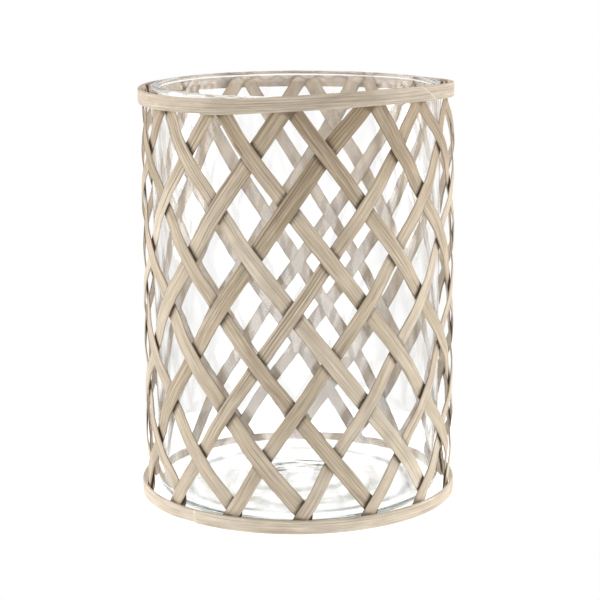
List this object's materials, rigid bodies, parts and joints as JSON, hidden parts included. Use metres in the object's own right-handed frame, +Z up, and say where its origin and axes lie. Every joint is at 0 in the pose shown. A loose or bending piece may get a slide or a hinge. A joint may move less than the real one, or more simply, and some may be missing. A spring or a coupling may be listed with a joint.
{
  "type": "glass hurricane in a woven bamboo sleeve",
  "caption": "Clear glass cylinder, open at the top, standing inside an open sleeve of crossed bamboo splints glued between two bamboo hoops; holds a candle or flowers.",
  "frame": {"origin": "on the table, at the middle of the base", "axes": "+Z up through the open mouth, -Y towards the front, +X to the right as seen from the front"},
  "size_m": [0.1786, 0.1786, 0.2323],
  "materials": {
    "clear_glass": "clear, fire-polished, faintly green where it is thick",
    "top_hoop_bamboo": "dry, grey-washed bamboo with long grooves",
    "base_hoop_bamboo": "dry, pale bamboo with a fine grain",
    "falling_splint_bamboo": "dry, grey-washed bamboo with a lengthwise grain",
    "rising_splint_bamboo": "dry, grey-washed bamboo with a lengthwise grain"
  },
  "bodies": {
    "sleeve": {"top_hoop": "top_hoop_bamboo", "base_hoop": "base_hoop_bamboo", "falling_splint_01": "falling_splint_bamboo", "falling_splint_02": "falling_splint_bamboo", "falling_splint_03": "falling_splint_bamboo", "falling_splint_04": "falling_splint_bamboo", "falling_splint_05": "falling_splint_bamboo", "falling_splint_06": "falling_splint_bamboo", "falling_splint_07": "falling_splint_bamboo", "falling_splint_08": "falling_splint_bamboo", "falling_splint_09": "falling_splint_bamboo", "falling_splint_10": "falling_splint_bamboo", "falling_splint_11": "falling_splint_bamboo", "falling_splint_12": "falling_splint_bamboo", "falling_splint_13": "falling_splint_bamboo", "falling_splint_14": "falling_splint_bamboo", "rising_splint_01": "rising_splint_bamboo", "rising_splint_02": "rising_splint_bamboo", "rising_splint_03": "rising_splint_bamboo", "rising_splint_04": "rising_splint_bamboo", "rising_splint_05": "rising_splint_bamboo", "rising_splint_06": "rising_splint_bamboo", "rising_splint_07": "rising_splint_bamboo", "rising_splint_08": "rising_splint_bamboo", "rising_splint_09": "rising_splint_bamboo", "rising_splint_10": "rising_splint_bamboo", "rising_splint_11": "rising_splint_bamboo", "rising_splint_12": "rising_splint_bamboo", "rising_splint_13": "rising_splint_bamboo", "rising_splint_14": "rising_splint_bamboo"},
    "glass": {"glass_cylinder": "clear_glass"}
  },
  "joints": [
    {"name": "glass_lift", "type": "slide", "parent": "sleeve", "child": "glass", "axis": [0, 0, 1], "range_m": [0, 0.26]}
  ]
}
